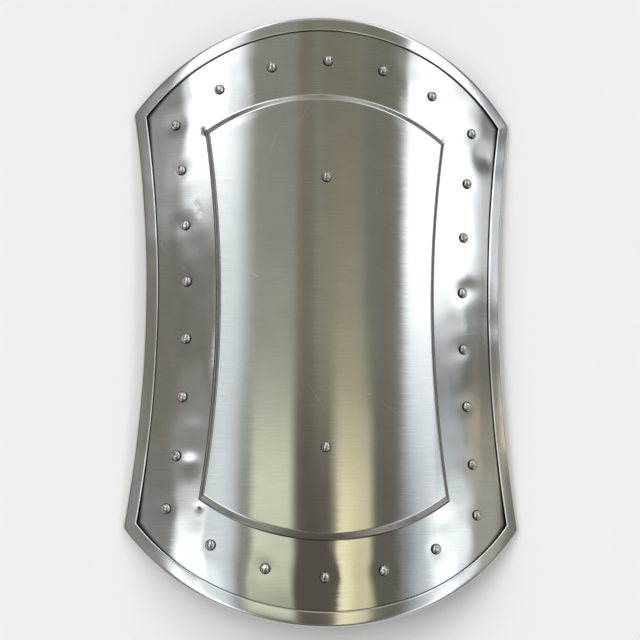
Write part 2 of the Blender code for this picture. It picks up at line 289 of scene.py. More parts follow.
def pit(flat, centre, across, along):
    """The share of a round or oval pit's depth at points of the flat sheet."""
    reach = ((flat[:, 0] - centre[0]) / across) ** 2 + ((flat[:, 1] - centre[1]) / along) ** 2
    return np.exp(-reach)


def sunk_share(flat):
    """The share of the panel's drop below its upper shoulder at points of the flat sheet."""
    centre, radius = drawn_in(PANEL, PANEL_END_STEP, PANEL_SIDE_STEP)[0][2]
    distance = np.hypot(flat[:, 0] - centre.x, flat[:, 1] - centre.y) - radius
    return np.exp(-((distance / SHOULDER_REACH) ** 2)) * (flat[:, 1] > 0)


def dressed_heights(flat, lifts, border_share):
    """Heights of the front: the panel's lift, the border's waves, the rivets' dishes and the dents."""
    share = PANEL_WAVE_SHARE + (1 - PANEL_WAVE_SHARE) * border_share
    heights = lifts * (1 - SHOULDER_DROP / PANEL_LIFT * sunk_share(flat))
    heights += border_waves(flat) * share
    chance = random.Random(5)
    for name in BORDER_RIVETS:
        depth = chance.uniform(*DISH_DEPTHS)
        heights -= depth * pit(flat, RIVET_FEET[name], DISH_RADIUS, DISH_RADIUS)
    for u, v, across, along, depth in DENTS:
        heights -= depth * MM * pit(flat, (u * MM, v * MM), across * MM, along * MM)
    return heights


def seam_grime_and_shade(ring, distance):
    """How dark the grime and painted shade in the seam beside the rim are along a loop at a distance from it,
    from 0 to 1.
    """
    _, turns = drawn_in(SHIELD, RIM_FRONT_WIDTH, RIM_FRONT_WIDTH)
    darkness = []
    for point in ring:
        to_corner = min((point - turn).length for turn in turns)
        width = SEAM_GRIME_AND_SHADE + CORNER_GRIME_AND_SHADE * math.exp(-to_corner / CORNER_SHADE_REACH)
        darkness.append(min(1.0, max(0.0, SEAM_DARKNESS * (1 - distance / width))))
    return darkness


def plate_rings():
    """The loops outside the panel's grid, each with its lift, border share, grime and painted shade, and
    dullness.
    """
    shoulder = loop(PANEL, PANEL_END_STEP, PANEL_SIDE_STEP)
    foot = loop(PANEL, 0, 0)
    rings = []
    for number in range(1, STEP_LOOPS + 1):
        share = number / STEP_LOOPS
        # Painted shade at the step's foot, strongest on the bottom side and faintest on the top
        near_foot = max(0.0, 1 - (1 - share) / FOOT_SHADE_SHARE)
        sides = zip(FOOT_SHADE, (END_STOPS, SIDE_STOPS, END_STOPS, SIDE_STOPS))
        grime_and_shade = [near_foot * amount for amount, places in sides for _ in places]
        ring = blended(shoulder, foot, share)
        dull = min(1.0, share / DULL_EDGE_SHARE, (1 - share) / DULL_EDGE_SHARE)
        rings.append((ring, PANEL_LIFT * step_height(share), 0.0, grime_and_shade, dull))
    last = loop(SHIELD, RIM_FRONT_WIDTH + SEAM_LOOPS[0], RIM_FRONT_WIDTH + SEAM_LOOPS[0])
    width = (CORNER_WIDTH - PANEL_WIDTH) / 2 - RIM_FRONT_WIDTH - SEAM_LOOPS[0]
    shares = [distance / width for distance in FOOT_LOOPS]
    first = shares[-1]
    shares += [first + (1 - first) * number / BORDER_LOOPS for number in range(1, BORDER_LOOPS)]
    for share in shares:
        waves = min(1.0, share * width / WAVES_FADE_IN)
        rings.append((blended(foot, last, share), 0.0, waves, [0.0] * len(foot), 0.0))
    for distance in SEAM_LOOPS:
        inset = RIM_FRONT_WIDTH + distance
        ring = loop(SHIELD, inset, inset)
        rings.append((ring, 0.0, 1.0, seam_grime_and_shade(ring, distance), 0.0))
    # The plate under the rim is painted fully dark, as shade
    for inset in (RIM_FRONT_WIDTH - 2 * MM, RIM_SHEET + GAP):
        ring = loop(SHIELD, inset, inset)
        rings.append((ring, 0.0, 0.0, [1.0] * len(ring), 0.0))
    return rings


def new_piece(name, points, faces, uvs, smooth_angle=math.radians(40)):
    """A smooth-shaded mesh object, with a place on the flat metal in metres at each corner of its faces."""
    mesh = bpy.data.meshes.new(name)
    mesh.from_pydata(points, [], faces)
    layer = mesh.uv_layers.new(name="metal")
    layer.data.foreach_set("uv", np.asarray(uvs, np.float32).ravel())
    mesh.shade_smooth()
    mesh.set_sharp_from_angle(angle=smooth_angle)
    piece = bpy.data.objects.new(name, mesh)
    bpy.context.scene.collection.objects.link(piece)
    return piece


def paint(piece, name, values):
    """Stores one number for each point of a piece, for its material to read."""
    attribute = piece.data.attributes.new(name, "FLOAT", "POINT")
    attribute.data.foreach_set("value", np.asarray(values, np.float32))


def build_plate():
    """The plate: the panel's grid, the step and the border, in front and behind, and the cut edge."""
    flat, faces, edge = grid_inside(loop(PANEL, PANEL_END_STEP, PANEL_SIDE_STEP))
    marks = [(PANEL_LIFT, 0.0, 0.0, 0.0)] * len(flat)
    for ring, lift, border_share, dark, dull in plate_rings():
        outer = list(range(len(flat), len(flat) + len(ring)))
        flat += ring
        marks += [(lift, border_share, grime_and_shade, dull) for grime_and_shade in dark]
        faces += band(edge, outer)
        edge = outer
    count = len(flat)
    lifts, border_shares, grime_and_shade, dullness = np.array(marks).T
    heights = dressed_heights(np.array([tuple(point) for point in flat]), lifts, border_shares)
    front = [rolled(point, height) for point, height in zip(flat, heights)]
    back = [rolled(point, height - SHEET) for point, height in zip(flat, heights)]
    behind = [tuple(number + count for number in reversed(face)) for face in faces]
    wall = band(edge, [number + count for number in edge])
    faces = faces + behind + wall
    uvs = [flat[number % count] for face in faces for number in face]
    plate = new_piece("brushed_plate", front + back, faces, uvs)
    # Grime and painted shade, behind at a share of their strength in front
    paint(plate, "grime_and_shade", np.concatenate((grime_and_shade, BACK_GRIME_AND_SHADE_SHARE * grime_and_shade)))
    paint(plate, "panel", np.tile(lifts / PANEL_LIFT, 2))
    paint(plate, "back", [0.0] * count + [1.0] * count)
    paint(plate, "dull", np.tile(dullness, 2))
    return plate


def linear(code):
    """A colour given as sRGB hex, as the linear values that a shader works with."""
    channels = [int(code[i : i + 2], 16) / 255 for i in (1, 3, 5)]
    values = [c / 12.92 if c <= 0.04045 else ((c + 0.055) / 1.055) ** 2.4 for c in channels]
    return (*values, 1.0)


def add_node(tree, kind, inputs=None, **settings):
    """A node with its settings, and its inputs: each is a value, or another node's output to link."""
    made = tree.nodes.new(kind)
    for name, value in settings.items():
        setattr(made, name, value)
    for name, value in (inputs or {}).items():
        if isinstance(value, bpy.types.NodeSocket):
            tree.links.new(value, made.inputs[name])
        else:
            made.inputs[name].default_value = value
    return made


def metal(name):
    """A new bare metal: its node tree, its shader, and the place on the flat metal in metres."""
    material = bpy.data.materials.new(name)
    material.use_nodes = True
    tree = material.node_tree
    shader = tree.nodes["Principled BSDF"]
    shader.inputs["Metallic"].default_value = 1.0
    place = add_node(tree, "ShaderNodeUVMap", uv_map="metal").outputs["UV"]
    return material, tree, shader, place


# The belt's lines are about 0.2 mm apart on the real steel. They are drawn 0.8 mm apart, since a pixel
# of the render covers 0.7 mm, and each runs on for some 22 mm.
BRUSH_SPACING = 0.8 * MM
BRUSH_LENGTH = 22 * MM
BRUSH_LEAN = 0.013
SMUDGE_SIZE = 35 * MM
SMUDGE_ROUGHNESS = 0.03
STEP_ROUGHNESS = 0.25

# Long scratches and short light marks in the polish: from and to, in u and v, and width, in millimetres
SCRATCHES = [
    (-13.4, 161.2, -23.7, 133.8, 0.5),
    (-37.1, 137.7, -46.5, 107.7, 0.4),
    (-20.7, -43.8, 1.0, -79.8, 0.45),
    (35.8, -63.6, 51.8, -77.5, 0.35),
    (26.0, -60.5, 31.5, -61.5, 0.9),
    (-62.0, 161.5, -55.0, 165.5, 0.8),
    (53.0, 168.5, 58.5, 162.0, 0.8),
    (34.5, 93.5, 35.5, 86.0, 0.6),
    (45.5, 64.0, 47.0, 58.5, 0.6),
    (-57.0, 27.0, -49.5, 23.5, 0.9),
    (102.1, -13.8, 122.7, -8.3, 0.5),
    (108.4, -2.7, 107.4, -8.8, 0.9),
    (112.6, -14.5, 118.7, -24.6, 0.45),
    (-99.1, 82.3, -95.9, 77.5, 1.2),
    (-96.6, 75.2, -93.5, 74.3, 1.2),
    (-127.2, 55.9, -122.0, 44.1, 0.45),
    (-111.5, 37.4, -104.3, 29.4, 0.6),
    (-91.1, 23.9, -88.0, 23.2, 1.0),
]

# Dark spots where grime stayed in a dent beside the panel's corners, given like the scratches
STAINS = [
    (-95.2, 139.6, -94.0, 132.8, 4.6),
    (-94.6, -141.2, -90.4, -143.0, 3.6),
]
STAIN_STRENGTH = 1.8


def scratch_mask(tree, place, scratches):
    """How deep in any of the scratches a point lies: each is a long thin ellipse in its own frame."""
    deepest = 0.0
    for u, v, end_u, end_v, width in scratches:
        length = math.hypot(end_u - u, end_v - v)
        lies = {
            "Vector": place,
            "Location": ((u + end_u) / 2 * MM, (v + end_v) / 2 * MM, 0),
            "Rotation": (0, 0, math.atan2(end_v - v, end_u - u)),
            "Scale": (length / 2 * MM, width / 2 * MM, 1),
        }
        own_frame = add_node(tree, "ShaderNodeMapping", lies, vector_type="TEXTURE")
        away = add_node(tree, "ShaderNodeVectorMath", {0: own_frame.outputs[0]}, operation="LENGTH")
        depth = add_node(tree, "ShaderNodeMath", {0: 1.0, 1: away.outputs["Value"]}, operation="SUBTRACT")
        deeper = add_node(tree, "ShaderNodeMath", {0: deepest, 1: depth.outputs[0]}, operation="MAXIMUM")
        deepest = deeper.outputs[0]
    return deepest


def brush_lines(tree, place):
    """The fine lines along the metal's first direction that a belt or a polishing wheel leaves."""
    squeeze = {0: place, 1: (1 / BRUSH_LENGTH, 1 / BRUSH_SPACING, 0)}
    squeezed = add_node(tree, "ShaderNodeVectorMath", squeeze, operation="MULTIPLY").outputs[0]
    streaks = {"Vector": squeezed, "Scale": 1.0, "Detail": 3.0, "Roughness": 0.6}
    return add_node(tree, "ShaderNodeTexNoise", streaks).outputs["Fac"]


def tinted(tree, colour, pattern, spread, dark, light):
    """A colour that a pattern darkens and lightens, where it lies a spread below and above a half."""
    ends = {"From Min": 0.5 - spread, "From Max": 0.5 + spread, "To Min": dark, "To Max": light}
    tone = add_node(tree, "ShaderNodeMapRange", {"Value": pattern, **ends}).outputs[0]
    return add_node(tree, "ShaderNodeVectorMath", {0: colour, "Scale": tone}, operation="SCALE").outputs[0]


def lay_coats(tree, shader, colour, coats):
    """Lays coats over a metal's own colour, each where its mask is 1, and hands the shader the result."""
    for mask, coat in coats:
        covered = {"Factor": mask, 6: colour, 7: linear(coat)}
        colour = add_node(tree, "ShaderNodeMix", covered, data_type="RGBA").outputs[2]
    tree.links.new(colour, shader.inputs["Base Color"])


def smear_gloss(tree, shader, share):
    """Smears the gloss at a quarter turn from the metal's lines, and gives the direction they run in."""
    shader.inputs["Anisotropic"].default_value = share
    shader.inputs["Anisotropic Rotation"].default_value = 0.25
    lay = add_node(tree, "ShaderNodeTangent", direction_type="UV_MAP", uv_map="metal").outputs[0]
    tree.links.new(lay, shader.inputs["Tangent"])
    return lay


def brushed_steel():
    """Mild steel ground across with a fine belt: it mirrors sharply across and smears up and down."""
    material, tree, shader, place = metal("belt_ground_mild_steel")
    grime_and_shade, panel, back, dull = (
        add_node(tree, "ShaderNodeAttribute", attribute_name=name).outputs["Fac"]
        for name in ("grime_and_shade", "panel", "back", "dull")
    )
    lines = brush_lines(tree, place)
    cloudy = {"Vector": place, "Scale": 1 / SMUDGE_SIZE, "Detail": 4.0, "Roughness": 0.55}
    smudges = add_node(tree, "ShaderNodeTexNoise", cloudy).outputs["Fac"]
    stained = {0: scratch_mask(tree, place, STAINS), 1: STAIN_STRENGTH}
    spots = add_node(tree, "ShaderNodeMath", stained, operation="MULTIPLY", use_clamp=True).outputs[0]
    clean = tinted(tree, linear("#cbc9c4")[:3], lines, 0.25, 0.94, 1.05)
    clean = tinted(tree, clean, smudges, 0.2, 0.96, 1.03)

    # The belt hardly reaches the step, which stays greyer, and the back was left as it came
    coats = [
        (dull, "#b9b6b0"),
        (back, "#9a958d"),
        # Grime and painted shade in the seam beside the rim, and painted shade at the step's foot and under
        # the rim
        (grime_and_shade, "#2b2620"),
        (scratch_mask(tree, place, SCRATCHES), "#f4f2ee"),
        (spots, "#62674f"),
    ]
    lay_coats(tree, shader, clean, coats)

    finish = {"Value": panel, "To Min": 0.07, "To Max": 0.1}
    rough = add_node(tree, "ShaderNodeMapRange", finish).outputs[0]
    for pattern, share in ((smudges, SMUDGE_ROUGHNESS), (dull, STEP_ROUGHNESS)):
        added = {0: pattern, 1: share, 2: rough}
        rough = add_node(tree, "ShaderNodeMath", added, operation="MULTIPLY_ADD").outputs[0]
    tree.links.new(rough, shader.inputs["Roughness"])

    # Each line leans a little its own way, which frays the edges of what the steel mirrors
    uneven = add_node(tree, "ShaderNodeMath", {0: lines, 1: 0.5}, operation="SUBTRACT").outputs[0]
    leaning = add_node(tree, "ShaderNodeMath", {0: uneven, 1: BRUSH_LEAN}, operation="MULTIPLY").outputs[0]
    lay = smear_gloss(tree, shader, 0.8)
    aside = add_node(tree, "ShaderNodeVectorMath", {0: lay, "Scale": leaning}, operation="SCALE")
    upright = add_node(tree, "ShaderNodeNewGeometry").outputs["Normal"]
    tilted = add_node(tree, "ShaderNodeVectorMath", {0: upright, 1: aside.outputs[0]}, operation="ADD")
    facing = add_node(tree, "ShaderNodeVectorMath", {0: tilted.outputs[0]}, operation="NORMALIZE")
    tree.links.new(facing.outputs[0], shader.inputs["Normal"])
    return material


plate = build_plate()
plate.data.materials.append(brushed_steel())
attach(plate, "root")
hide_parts("shield_plate")

# The rim is a strip of the same steel, folded over the plate's edge as a flattened U and mitred at the
# four corners, where it was welded and ground smooth. It is polished along its length. Its inner edge is
# rubbed bright and carries a painted highlight, with painted shade at the edge, in the seam below it and in
# the fold.

RIM_CORNER_RADIUS = 5.5 * MM
ARRIS = 0.4 * MM
ARRIS_STEPS = 4
PINCH = 0.08 * MM
SWELL = 0.05 * MM
FRONT_STEPS = 9
NOSE_STEPS = 12
RIM_WAVE_LENGTHS = [26 * MM, 41 * MM, 73 * MM]
RIM_WAVE_SLOPE = 0.004

# How dark painted shade makes the section's first point, at the inner edge, its last one, below that in the
# seam, and the three before it, inside the fold
EDGE_SHADE = 0.35
SEAM_WALL_SHADE = 0.7
FOLD_SHADE = 1.0


def rim_section():
    """The folded strip's section, as inset from the outer edge and height above the plate's front."""
    inner = GAP + RIM_SHEET - PINCH
    front = GAP + RIM_SHEET + SWELL
    back = -SHEET - GAP - RIM_SHEET
    middle = (front + back) / 2
    nose = (front - back) / 2
    section = []
    for step in range(ARRIS_STEPS + 1):
        angle = math.pi / 2 * step / ARRIS_STEPS
        across = RIM_FRONT_WIDTH - ARRIS * (1 - math.cos(angle))
        section.append((across, inner - ARRIS * (1 - math.sin(angle))))
    first = section[-1][0]
    for step in range(1, FRONT_STEPS):
        share = step / FRONT_STEPS
        rise = math.sin(share * math.pi / 2)
        section.append((first + (nose - first) * share, inner + (front - inner) * rise))
    for step in range(NOSE_STEPS + 1):
        angle = math.pi * (0.5 - step / NOSE_STEPS)
        section.append((nose - nose * math.cos(angle), middle + nose * math.sin(angle)))
    section += [(RIM_BACK_WIDTH - distance * MM, back) for distance in (4, 2)]
    for step in range(ARRIS_STEPS + 1):
        angle = math.pi / 2 * step / ARRIS_STEPS
        across = RIM_BACK_WIDTH - ARRIS * (1 - math.sin(angle))
        section.append((across, back + ARRIS * (1 - math.cos(angle))))
    section += [
        (RIM_BACK_WIDTH, back + RIM_SHEET),
        (RIM_SHEET, back + RIM_SHEET),
        (RIM_SHEET, GAP),
        (RIM_FRONT_WIDTH, inner - RIM_SHEET),
    ]
    return section


def rounded_loop(inset):
    """A loop of the rim whose outer corners are rounded, the less so the further in it lies."""
    points = loop(SHIELD, inset, inset)
    rounding = RIM_CORNER_RADIUS - inset
    if rounding <= 0:
        return points
    _, turns = drawn_in(SHIELD, inset, inset)
    _, pivots = drawn_in(SHIELD, RIM_CORNER_RADIUS, RIM_CORNER_RADIUS)
    moved = []
    for point in points:
        for turn, pivot in zip(turns, pivots):
            reach = (turn - pivot).length
            tangent = math.sqrt(max(0.0, reach ** 2 - rounding ** 2))
            if (point - turn).length < tangent:
                point = pivot + (point - pivot).normalized() * rounding
        moved.append(point)
    return moved


def build_rim():
    """The rim: its section carried round the outline."""
    section = rim_section()
    outer = loop(SHIELD, 0, 0)
    count = len(outer)
    along = [0.0]
    for k in range(count):
        along.append(along[-1] + (outer[(k + 1) % count] - outer[k]).length)
    chance = random.Random(11)
    waves = np.zeros(count)
    for length in RIM_WAVE_LENGTHS:
        turn = math.tau * round(along[-1] / length) / along[-1]
        waves += RIM_WAVE_SLOPE / turn * np.sin(turn * np.array(along[:-1]) + chance.uniform(0, math.tau))
    points = []
    rings = []
    for inset, height in section:
        rings.append(list(range(len(points), len(points) + count)))
        rise = waves if height > GAP and inset > RIM_SHEET else 0 * waves
        points += [rolled(point, height + lift) for point, lift in zip(rounded_loop(inset), rise)]
    faces = []
    uvs = []
    across = 0.0
    for index, ring in enumerate(rings):
        inset, height = section[index]
        next_inset, next_height = section[(index + 1) % len(section)]
        next_across = across + math.hypot(next_inset - inset, next_height - height)
        faces += band(ring, rings[(index + 1) % len(rings)])
        for k in range(count):
            uvs += [
                (along[k], across),
                (along[k], next_across),
                (along[k + 1], next_across),
                (along[k + 1], across),
            ]
        across = next_across
    rim = new_piece("folded_rim", points, faces, uvs)
    # Painted shade at the inner edge, in the seam below it and inside the fold
    grime_and_shade = [EDGE_SHADE] + [0.0] * (len(section) - 5) + [FOLD_SHADE] * 3 + [SEAM_WALL_SHADE]
    # The rounded inner edge is painted bright, partly rubbed steel and partly a painted highlight
    arris_highlight = [0.0] + [1.0] * ARRIS_STEPS + [0.0] * (len(section) - ARRIS_STEPS - 1)
    paint(rim, "grime_and_shade", np.repeat(grime_and_shade, count))
    paint(rim, "arris", np.repeat(arris_highlight, count))
    return rim


def polished_strip_steel():
    """Steel strip polished along its length: a clear but soft mirror with fine lines that follow it."""
    material, tree, shader, place = metal("strip_polished_mild_steel")
    grime_and_shade = add_node(tree, "ShaderNodeAttribute", attribute_name="grime_and_shade").outputs["Fac"]
    arris = add_node(tree, "ShaderNodeAttribute", attribute_name="arris").outputs["Fac"]
    clean = tinted(tree, linear("#cfcdca")[:3], brush_lines(tree, place), 0.25, 0.95, 1.04)
    # A painted highlight on the inner edge, and painted shade at the seam and in the fold
    lay_coats(tree, shader, clean, [(arris, "#f2f1ee"), (grime_and_shade, "#3a3530")])
    shader.inputs["Roughness"].default_value = 0.13
    smear_gloss(tree, shader, 0.3)
    return material


rim = build_rim()
rim.data.materials.append(polished_strip_steel())
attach(rim, "root")
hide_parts("rim_binding")

# Twenty-six short rivets go round the border, and two longer ones hold the grip through the panel.
# Each is soft steel with a domed head, set and dressed with a hammer that left small flats on it.

HEAD_RADIUS = 4 * MM
HEAD_HEIGHT = 2.9 * MM
SHANK_RADIUS = 2 * MM
TAIL_RADIUS = 3.1 * MM
TAIL_HEIGHT = 1.3 * MM
HEAD_RINGS = 14
ROUND_POINTS = 40
FLATS = 9
FLAT_DEPTHS = (0.94, 0.99)
FLATS_REACH = 0.75
LUMP_SIZE = 1.7 * MM
LUMP_HEIGHT = 0.045 * MM
LUMPS = 5
# The head's outer rings, from this share of the way down, are darkened by grime and painted shade
RING_SHADE_START = 0.66
RING_SHADE_GROWTH = 4

# A rivet's tail below what it holds, as shares of its radius and height
TAIL = [(1.0, 0.0), (1.0, 0.35), (0.9, 0.75), (0.7, 1.0), (0.3, 1.0)]

FOOT_WIDTH = 24 * MM
FOOT_THICKNESS = 3 * MM


def foot_top():
    """The height of the flat top of a grip's foot, whose long edges meet the hollow back of the panel."""
    back = PANEL_LIFT - SHEET
    back_radius = ROLL_RADIUS + back
    return back - back_radius + math.sqrt(back_radius ** 2 - (FOOT_WIDTH / 2) ** 2) - GAP


def leaned(lean, turn):
    """A direction that leans away from straight up, towards a turn about it."""
    return Vector((math.sin(lean) * math.cos(turn), math.sin(lean) * math.sin(turn), math.cos(lean)))


def hammered_head(chance):
    """Rings of a domed head, from its top to its edge, planed by a few glancing hammer blows."""
    ball = (HEAD_RADIUS ** 2 + HEAD_HEIGHT ** 2) / (2 * HEAD_HEIGHT)
    sunk = ball - HEAD_HEIGHT
    edge = math.acos(sunk / ball)
    flats = []
    for number in range(FLATS):
        lean = edge * FLATS_REACH * math.sqrt(number / FLATS)
        facing = leaned(lean, chance.uniform(0, math.tau))
        flats.append((facing, ball * chance.uniform(*FLAT_DEPTHS)))
    lumps = []
    for _ in range(LUMPS):
        heading = Vector([chance.gauss(0, 1) for _ in range(3)]).normalized()
        lumps.append((heading * math.tau / LUMP_SIZE, chance.uniform(0, math.tau)))
    rings = []
    for number in range(HEAD_RINGS + 1):
        lean = edge * number / HEAD_RINGS
        ring = []
        for step in range(ROUND_POINTS):
            out = leaned(lean, math.tau * step / ROUND_POINTS)
            reach = min([ball] + [depth / max(0.2, out.dot(facing)) for facing, depth in flats])
            swell = sum(math.sin(out.dot(wave) * ball + phase) for wave, phase in lumps) / LUMPS
            reach += LUMP_HEIGHT * (swell - 1)
            ring.append(out * reach + Vector((0, 0, GAP - sunk)))
        rings.append(ring)
    return rings


def build_rivet(name, node, seat_height, grasp, chance):
    """A rivet: its hammered head, its shank through what it holds, and its tail headed over behind."""
    rings = hammered_head(chance)
    shares = [number / HEAD_RINGS for number in range(HEAD_RINGS + 1)]
    # Grime and painted shade darken the head's edge and all of the rivet below it
    grime_and_shade = [min(1.0, max(0.0, share - RING_SHADE_START) * RING_SHADE_GROWTH) for share in shares]
    tail_top = -grasp - GAP
    under = GAP - 0.1 * MM
    profile = [(HEAD_RADIUS * 0.97, under), (SHANK_RADIUS, under), (SHANK_RADIUS, tail_top)]
    profile += [(TAIL_RADIUS * out, tail_top - TAIL_HEIGHT * down) for out, down in TAIL]
    for radius, height in profile:
        turns = [math.tau * step / ROUND_POINTS for step in range(ROUND_POINTS)]
        rings.append([Vector((radius * math.cos(turn), radius * math.sin(turn), height)) for turn in turns])
        grime_and_shade.append(1.0)
    points = [point for ring in rings for point in ring]
    numbers = [list(range(k * ROUND_POINTS, (k + 1) * ROUND_POINTS)) for k in range(len(rings))]
    faces = []
    for upper, lower in zip(numbers, numbers[1:]):
        faces += band(upper, lower)
    faces.append(tuple(numbers[-1][::-1]))
    mesh_points = [seat(RIVET_FEET[node], seat_height) @ point for point in points]
    uvs = [(points[number].x, points[number].y) for face in faces for number in face]
    rivet = new_piece(name, mesh_points, faces, uvs, math.radians(60))
    paint(rivet, "grime_and_shade", np.repeat(grime_and_shade, ROUND_POINTS))
    return rivet


def seat(foot, height):
    """The frame of a piece that stands on the rolled plate at a place of the flat sheet."""
    return Matrix.Translation(rolled(foot, height)) @ Matrix.Rotation(foot.x / ROLL_RADIUS, 4, "Y")


def hammered_steel():
    """Soft rivet steel, hammered and lightly buffed: small bright flats above a lower edge that grime and
    painted shade darken.
    """
    material, tree, shader, place = metal("hammered_rivet_steel")
    grime_and_shade = add_node(tree, "ShaderNodeAttribute", attribute_name="grime_and_shade").outputs["Fac"]
    pits = add_node(
        tree, "ShaderNodeTexNoise", {"Vector": place, "Scale": 1 / (1.2 * MM), "Detail": 3.0}
    ).outputs["Fac"]
    clean = tinted(tree, linear("#c5c2bc")[:3], pits, 0.2, 0.85, 1.05)
    lay_coats(tree, shader, clean, [(grime_and_shade, "#26221e")])
    shader.inputs["Roughness"].default_value = 0.2
    return material


rivet_steel = hammered_steel()
blows = random.Random(21)
for node in BORDER_RIVETS + GRIP_RIVETS:
    if node in GRIP_RIVETS:
        rivet = build_rivet(
            "hammered_" + node, node, PANEL_LIFT, PANEL_LIFT - foot_top() + FOOT_THICKNESS, blows
        )
    else:
        rivet = build_rivet("hammered_" + node, node, 0.0, SHEET, blows)
    rivet.data.materials.append(rivet_steel)
    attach(rivet, "root")
    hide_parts(node)

# The grip is one forged bar behind the panel: two flat feet on the rivets and a thicker, rounded
# handle between them. It was left dark from the fire, only rubbed down, and worn bright on its edges.

GRIP_RIVET_SPACING = 198.8 * MM
GRIP_SIDE_SHIFT = -1.9 * MM
FINGER_GAP = 30 * MM
FOOT_REACH = 13 * MM
HANDLE_WIDTH = 20 * MM
HANDLE_THICKNESS = 8 * MM
BEND_RADIUS = 12 * MM
RAMP_ANGLE = math.radians(62)
HEEL_LENGTH = 10 * MM
RAMP_END_SHARE = 0.5
CORNER_SHARE = 0.36

# The rounded tip of a foot, as shares of its reach beyond the rivet and of its width
FOOT_TIP = [(1.0, 0.46), (0.86, 0.76), (0.62, 0.93), (0.3, 1.0)]
TIP_STEPS = 3
BEND_LOOPS = 12
CORNER_LOOPS = 5
FLAT_LOOPS = 8
BAR_SPACING = 2.4 * MM

# The marks of the hammer along the bar: how far apart they lie and how deep they are
BLOW_SPACING = 9 * MM
BLOW_DEPTH = 0.1 * MM
BLOW_WAVES = 6


def between(rows, steps):
    """Rows of numbers with more rows put evenly between them."""
    fine = []
    for row, following in zip(rows, rows[1:]):
        for step in range(steps):
            share = step / steps
            fine.append(tuple(a + (b - a) * share for a, b in zip(row, following)))
    return fine + [rows[-1]]


def grip_stations():
    """Stations of the bar's middle line, upper tip to lower tip: place, height, slope, share and width."""
    rivet = GRIP_RIVET_SPACING / 2
    start = foot_top() - FOOT_THICKNESS / 2
    end = PANEL_LIFT - SHEET - FINGER_GAP - HANDLE_THICKNESS / 2
    ramp = (start - end - 2 * BEND_RADIUS * (1 - math.cos(RAMP_ANGLE))) / math.sin(RAMP_ANGLE)
    heel = rivet - HEEL_LENGTH
    tip = [(rivet + FOOT_REACH * reach, start, 0.0, 0.0, width) for reach, width in FOOT_TIP]
    stations = between(tip, TIP_STEPS)
    stations += between([tip[-1], (heel, start, 0.0, 0.0, 1.0)], 4)[1:-1]
    for step in range(BEND_LOOPS + 1):
        slope = RAMP_ANGLE * step / BEND_LOOPS
        along = heel - BEND_RADIUS * math.sin(slope)
        height = start - BEND_RADIUS * (1 - math.cos(slope))
        stations.append((along, height, slope, 0.0, 1.0))
    ramp_along = along - ramp * math.cos(RAMP_ANGLE)
    ramp_height = height - ramp * math.sin(RAMP_ANGLE)
    ramp_end = (ramp_along, ramp_height, RAMP_ANGLE, RAMP_END_SHARE, 1.0)
    stations += between([stations[-1], ramp_end], 8)[1:-1]
    for step in range(BEND_LOOPS + 1):
        share = step / BEND_LOOPS
        slope = RAMP_ANGLE * (1 - share)
        along = ramp_along - BEND_RADIUS * (math.sin(RAMP_ANGLE) - math.sin(slope))
        height = ramp_height - BEND_RADIUS * (math.cos(slope) - math.cos(RAMP_ANGLE))
        stations.append((along, height, slope, RAMP_END_SHARE + (1 - RAMP_END_SHARE) * share, 1.0))
    lower = [(-along, height, -slope, share, width) for along, height, slope, share, width in stations]
    handle = between([stations[-1], lower[-1]], round(2 * along / BAR_SPACING))
    return stations + handle[1:-1] + lower[::-1]


def bar_section(width, thickness):
    """A rounded section as across, up and how near an edge of the bar it is, clockwise from its right."""
    corner = thickness * CORNER_SHARE
    section = []
    for quarter, (across_sign, up_sign) in enumerate(((1, 1), (1, -1), (-1, -1), (-1, 1))):
        for step in range(CORNER_LOOPS + 1):
            angle = math.pi / 2 * (1 - quarter - step / CORNER_LOOPS)
            across = across_sign * (width / 2 - corner) + corner * math.cos(angle)
            up = up_sign * (thickness / 2 - corner) + corner * math.sin(angle)
            section.append((across, up, 1.0))
        if quarter in (1, 3):
            for step in range(1, FLAT_LOOPS):
                run = (width / 2 - corner) * (1 - 2 * step / FLAT_LOOPS)
                section.append((across_sign * run, up_sign * thickness / 2, 0.0))
    return section


def hammer_marks(across, along):
    """How far the hammer sank the bar's flat sides at a place, from soft overlapping blows."""
    chance = random.Random(31)
    sunk = 0.0
    for _ in range(BLOW_WAVES):
        turn = math.tau / (BLOW_SPACING * chance.uniform(0.7, 1.4))
        lean = chance.uniform(-0.9, 0.9)
        phase = chance.uniform(0, math.tau)
        sunk += 0.5 - 0.5 * math.sin(turn * (along * math.cos(lean) + across * math.sin(lean)) + phase)
    return BLOW_DEPTH * sunk / BLOW_WAVES


def build_grip():
    """The grip: its section carried along its line, sunk here and there by the hammer."""
    stations = grip_stations()
    points = []
    rings = []
    edges = []
    runs = [0.0]
    for (along, height, *_), (before, height_before, *_) in zip(stations[1:], stations):
        runs.append(runs[-1] + math.hypot(along - before, height - height_before))
    for (along, height, slope, share, narrowing), run in zip(stations, runs):
        width = (FOOT_WIDTH + (HANDLE_WIDTH - FOOT_WIDTH) * share) * narrowing
        thickness = FOOT_THICKNESS + (HANDLE_THICKNESS - FOOT_THICKNESS) * share
        section = bar_section(width, thickness)
        rings.append(list(range(len(points), len(points) + len(section))))
        for across, up, edge in section:
            sunk = hammer_marks(across, run) * (share if up > 0 else min(1.0, share + 0.3))
            up -= math.copysign(sunk, up)
            points.append((across, along - up * math.sin(slope), height + up * math.cos(slope)))
            edges.append(edge)
    faces = [tuple(rings[0]), tuple(rings[-1][::-1])]
    for first, second in zip(rings, rings[1:]):
        faces += band(first, second)
    count = len(rings[0])
    uvs = [(points[number][0], runs[number // count]) for face in faces for number in face]
    place = seat(Vector((GRIP_SIDE_SHIFT, 0)), 0)
    grip = new_piece("forged_grip", [place @ Vector(point) for point in points], faces, uvs)
    paint(grip, "edge", edges)
    return grip


